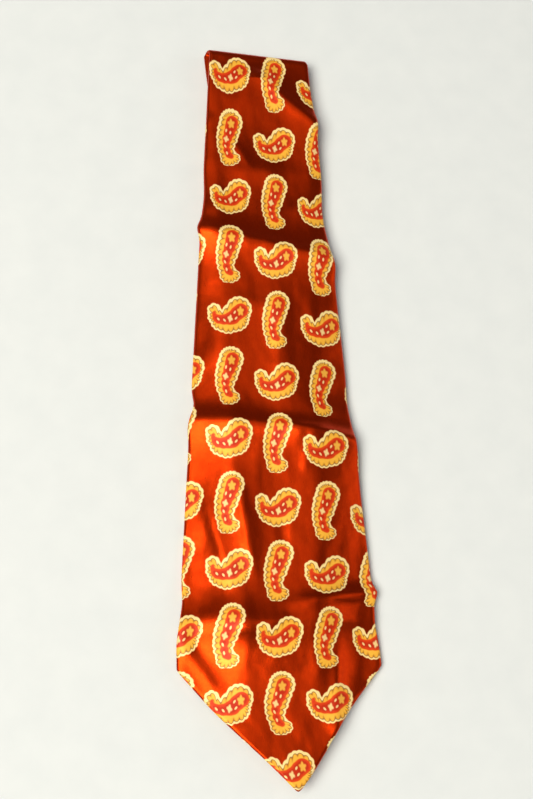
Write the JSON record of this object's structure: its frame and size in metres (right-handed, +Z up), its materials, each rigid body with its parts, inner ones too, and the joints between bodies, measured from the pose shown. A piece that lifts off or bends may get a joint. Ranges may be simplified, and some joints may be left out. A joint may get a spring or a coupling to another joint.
{
  "type": "necktie",
  "caption": "Wide bias-cut silk necktie folded in thirds, with a pointed blade, a narrow tail, interlining, tipping and a slip-stitched back seam.",
  "frame": {"origin": "middle of the folded tie's underside, on the surface it lies on", "axes": "+Z up, +Y along the tie from the wide tip to the top fold, +X across the tie to its right seen from above with the tip nearest"},
  "size_m": [0.108, 0.422, 0.0104],
  "materials": {
    "silk_satin": "rust printed satin",
    "seam_allowance": "reverse of the printed satin",
    "wool_interlining": "napped plain weave",
    "lining_silk": "plain twill",
    "sewing_thread": "twisted silk thread"
  },
  "bodies": {
    "tail": {"tail_silk": "silk_satin", "tail_interlining": "wool_interlining", "tail_tipping": "lining_silk", "tail_back_thread": "sewing_thread", "tail_bar_tack": "sewing_thread"},
    "middle": {"tail_silk_upper": "silk_satin", "neck_silk": "silk_satin", "wide_blade_silk_under": "silk_satin", "tail_interlining_upper": "wool_interlining", "blade_interlining_under": "wool_interlining", "tail_join_seam": "seam_allowance", "blade_join_seam": "seam_allowance", "neck_back_thread": "sewing_thread", "top_fold_silk": "silk_satin", "top_fold_interlining": "wool_interlining", "lower_fold_silk": "silk_satin", "lower_fold_interlining": "wool_interlining"},
    "blade": {"wide_blade_silk": "silk_satin", "blade_interlining": "wool_interlining", "blade_tipping": "lining_silk", "blade_back_thread": "sewing_thread", "blade_bar_tack": "sewing_thread"}
  },
  "joints": [
    {"name": "lower_fold", "type": "hinge", "parent": "middle", "child": "tail", "pos_m": [0, -0.17735, 0.0034], "axis": [-1, 0, 0], "range_deg": [0, 179.9], "deforming": ["lower_fold_silk", "lower_fold_interlining"]},
    {"name": "top_fold", "type": "hinge", "parent": "middle", "child": "blade", "pos_m": [0, 0.20765, 0.007], "axis": [-1, 0, 0], "range_deg": [0, 179.9], "deforming": ["top_fold_silk", "top_fold_interlining"]}
  ]
}
